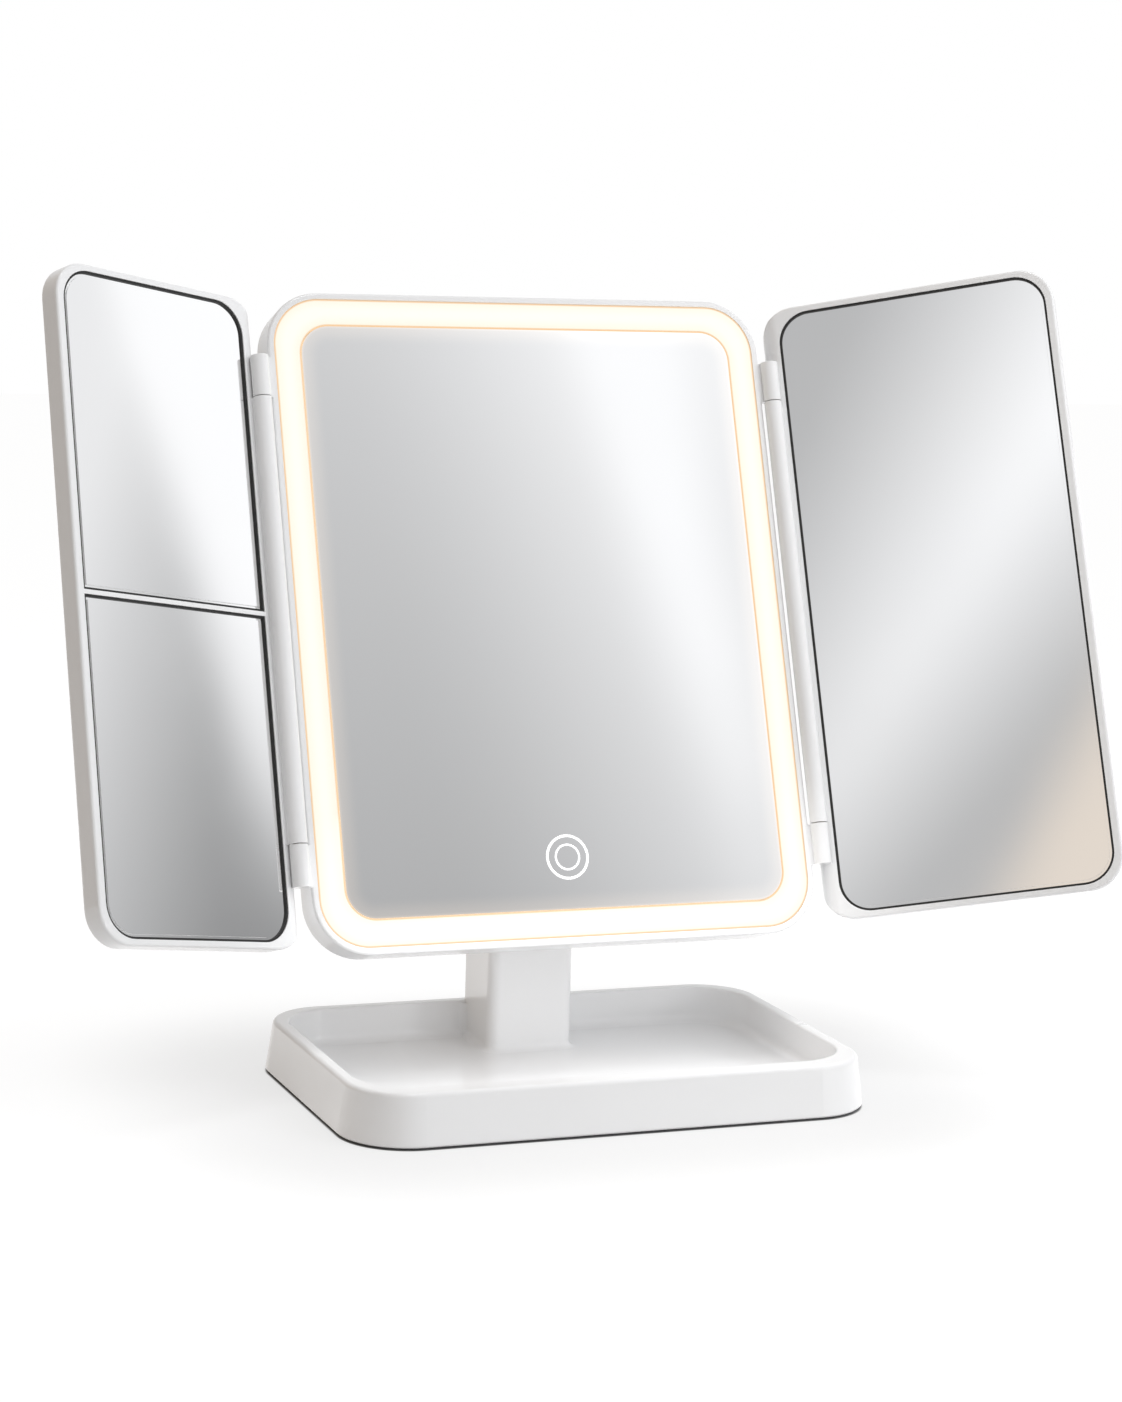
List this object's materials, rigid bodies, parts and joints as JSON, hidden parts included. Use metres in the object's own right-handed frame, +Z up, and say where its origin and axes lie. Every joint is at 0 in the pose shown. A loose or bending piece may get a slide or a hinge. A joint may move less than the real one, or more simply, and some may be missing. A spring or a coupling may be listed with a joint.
{
  "type": "trifold vanity mirror",
  "caption": "Lit tabletop vanity mirror with a tilting centre panel, two folding side mirrors and a tray base on an upright.",
  "frame": {"origin": "middle of the base's underside, on the plane that its rubber foot ring stands on", "axes": "+X to the viewer's right, +Y to the back of the base, +Z up; the mirrors face -Y"},
  "size_m": [0.3653, 0.1454, 0.2851],
  "materials": {
    "white_plastic": "semi-gloss injection moulded",
    "ivory_plastic": "self-lubricating, plain",
    "black_plastic": "plain",
    "steel": "plated",
    "foot_rubber": "matt",
    "board": "fibreglass laminate with white solder mask",
    "diffuser": "frosted, lit from behind",
    "mirror_glass": "silvered glass with ground edge",
    "touch_mark": "white print in an etched ring",
    "copper_foil": "thin foil",
    "seal": "black adhesive bead",
    "foam_tape": "closed-cell foam"
  },
  "bodies": {
    "base": {"base_tray": "white_plastic", "base_bottom_plate": "white_plastic", "ballast_plate": "steel", "rubber_foot_ring": "foot_rubber", "base_screws": "steel", "battery_cassette": "black_plastic", "battery_cells": "steel", "battery_contacts": "steel", "power_board": "board", "power_inlet": "steel", "tilt_bushing": "ivory_plastic"},
    "head": {"tilt_bracket": "white_plastic", "bracket_screws": "steel", "tilt_bolt": "steel", "tilt_nut": "steel", "friction_washers": "black_plastic", "hinge_caps": "white_plastic", "rear_cover": "white_plastic", "rear_cover_screws": "steel", "centre_frame": "white_plastic", "light_tray": "white_plastic", "led_strip": "board", "leds": "diffuser", "light_diffuser": "diffuser", "centre_mirror": "mirror_glass", "touch_mark": "touch_mark", "touch_pad": "copper_foil", "touch_spring": "steel", "control_board": "board", "wing_hinge_pins": "steel"},
    "left_wing": {"left_wing_frame": "white_plastic", "left_upper_mirror": "mirror_glass", "left_lower_mirror": "mirror_glass", "left_mirror_seals": "seal", "left_mirror_tape": "foam_tape", "left_wing_back": "white_plastic", "left_wing_screws": "steel", "left_hinge_bushings": "ivory_plastic"},
    "right_wing": {"right_wing_frame": "white_plastic", "right_mirror": "mirror_glass", "right_mirror_seal": "seal", "right_mirror_tape": "foam_tape", "right_wing_back": "white_plastic", "right_wing_screws": "steel", "right_hinge_bushings": "ivory_plastic"},
    "battery_door": {"battery_door": "white_plastic"}
  },
  "joints": [
    {"name": "head_tilt", "type": "hinge", "parent": "base", "child": "head", "pos_m": [0, 0.043, 0.108], "axis": [-1, 0, 0], "range_deg": [-18, 20]},
    {"name": "left_wing_fold", "type": "hinge", "parent": "head", "child": "left_wing", "pos_m": [-0.0961, 0.02855, 0.162], "axis": [0, 0.342, 0.9397], "range_deg": [-28, 152]},
    {"name": "right_wing_fold", "type": "hinge", "parent": "head", "child": "right_wing", "pos_m": [0.0961, 0.02855, 0.162], "axis": [0, -0.342, -0.9397], "range_deg": [-34.5, 145.5]},
    {"name": "battery_door_slide", "type": "slide", "parent": "base", "child": "battery_door", "axis": [0, 1, 0], "range_m": [0, 0.015]}
  ]
}
